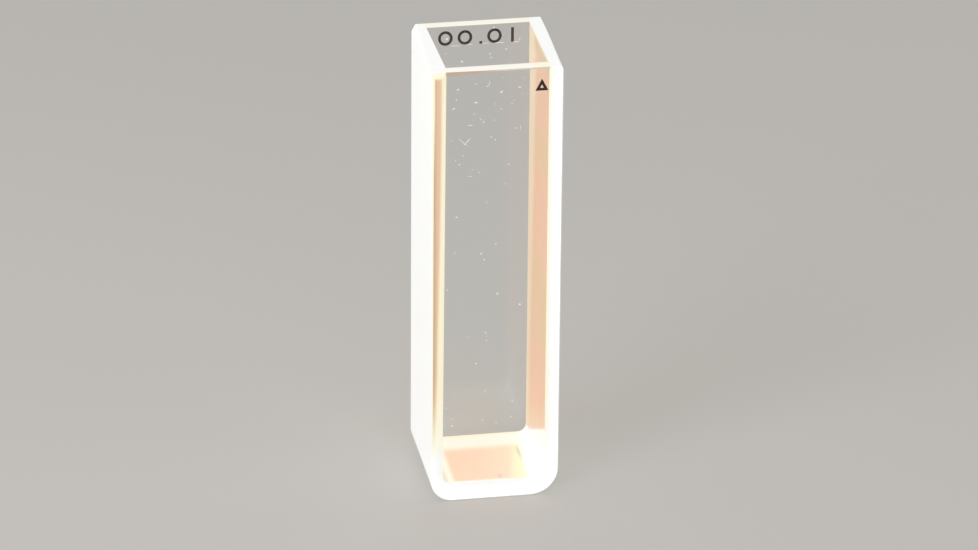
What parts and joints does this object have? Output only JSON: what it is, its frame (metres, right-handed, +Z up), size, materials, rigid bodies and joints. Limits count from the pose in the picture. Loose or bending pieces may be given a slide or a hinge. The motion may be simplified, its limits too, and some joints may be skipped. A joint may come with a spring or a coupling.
{
  "type": "cuvette",
  "caption": "Square glass sample cell with frosted sides and floor, clear front and rear windows and an open mouth, made to hold a liquid in a light beam.",
  "frame": {"origin": "centre of the face that the cell stands on", "axes": "+Z up and out of the mouth, light path along Y through the clear windows, frosted sides at +X and -X"},
  "size_m": [0.0126, 0.0126, 0.045],
  "materials": {
    "ground_glass": "finely ground, translucent white",
    "clear_glass": "polished and clear, ground at the rim"
  },
  "bodies": {
    "root": {"frosted_frame": "ground_glass", "front_window": "clear_glass", "rear_window": "clear_glass"}
  },
  "joints": []
}
